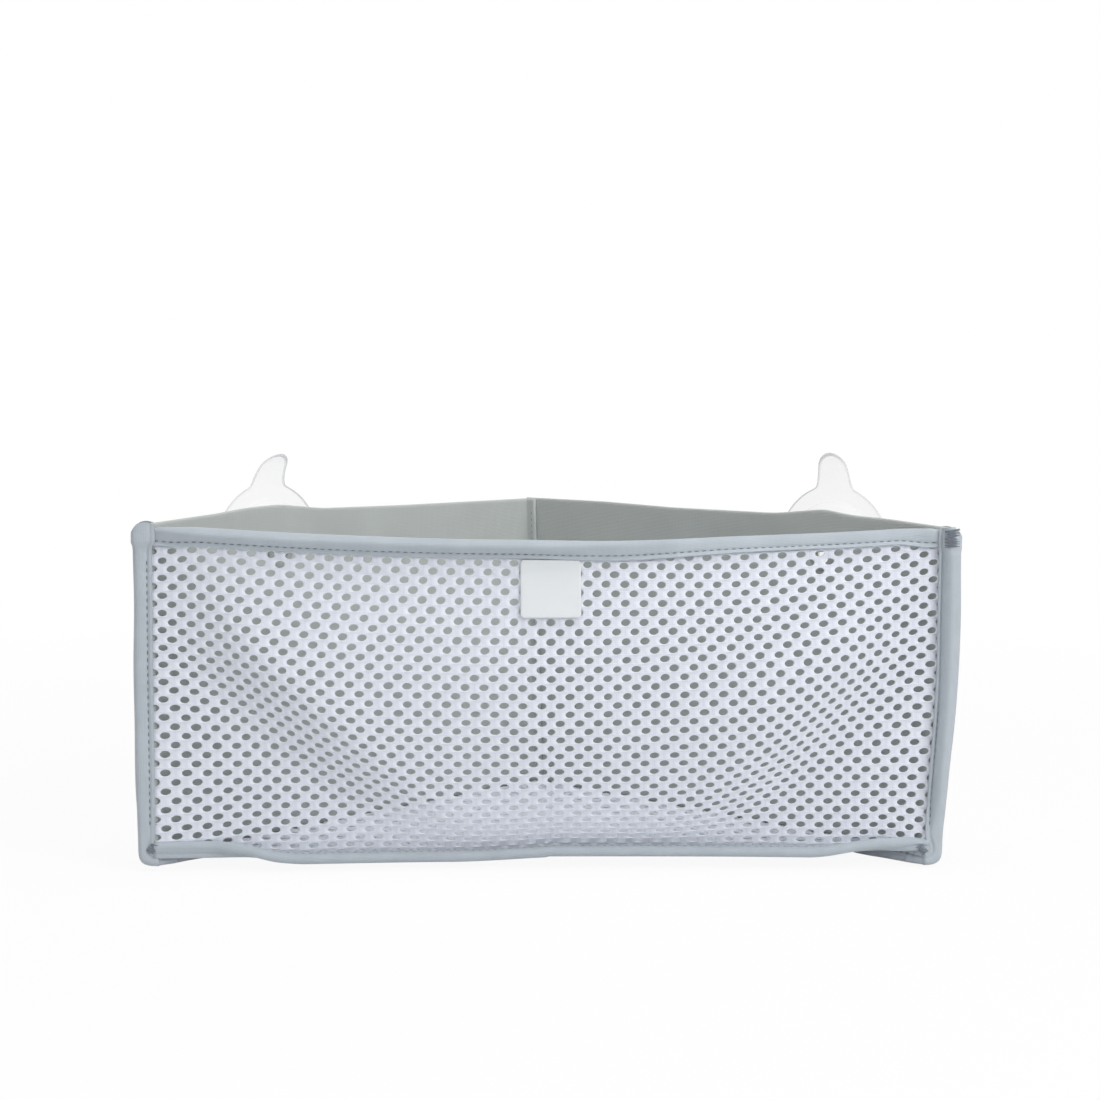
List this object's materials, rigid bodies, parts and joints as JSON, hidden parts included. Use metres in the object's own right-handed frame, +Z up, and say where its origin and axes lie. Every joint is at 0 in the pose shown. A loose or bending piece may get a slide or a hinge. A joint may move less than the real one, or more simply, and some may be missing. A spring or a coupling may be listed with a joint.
{
  "type": "bath toy organizer",
  "caption": "Triangular corner bag with padded cloth walls, net front and net base, taped seams and suction cups, for draining and storing bath toys.",
  "frame": {"origin": "middle of the bounding box's footprint, on the surface that the bag stands on", "axes": "+X to the right along the net front, +Y from the net front to the back corner, +Z up"},
  "size_m": [0.3772, 0.1966, 0.1884],
  "materials": {
    "wall_cloth": "matte padded jersey",
    "net_cloth": "matte knitted mesh",
    "binding_tape": "soft sheen woven tape",
    "label_patch": "smooth satin",
    "eyelet_plastic": "satin",
    "clear_vinyl": "clear gloss"
  },
  "bodies": {
    "bag": {"left_back_panel": "wall_cloth", "right_back_panel": "wall_cloth", "front_net_panel": "net_cloth", "base_net_panel": "net_cloth", "front_top_binding": "binding_tape", "front_base_binding": "binding_tape", "left_side_binding": "binding_tape", "right_side_binding": "binding_tape", "left_base_binding": "binding_tape", "right_base_binding": "binding_tape", "front_label": "label_patch", "left_eyelet": "eyelet_plastic", "left_eyelet_washer": "eyelet_plastic", "right_eyelet": "eyelet_plastic", "right_eyelet_washer": "eyelet_plastic"},
    "left_cup": {"left_suction_cup": "clear_vinyl"},
    "right_cup": {"right_suction_cup": "clear_vinyl"}
  },
  "joints": [
    {"name": "left_cup_swivel", "type": "hinge", "parent": "bag", "child": "left_cup", "pos_m": [-0.12587, -0.03187, 0.14039], "axis": [-0.7071, 0.7071, 0], "continuous": true},
    {"name": "right_cup_swivel", "type": "hinge", "parent": "bag", "child": "right_cup", "pos_m": [0.13223, -0.03824, 0.14039], "axis": [0.7071, 0.7071, 0], "continuous": true}
  ]
}
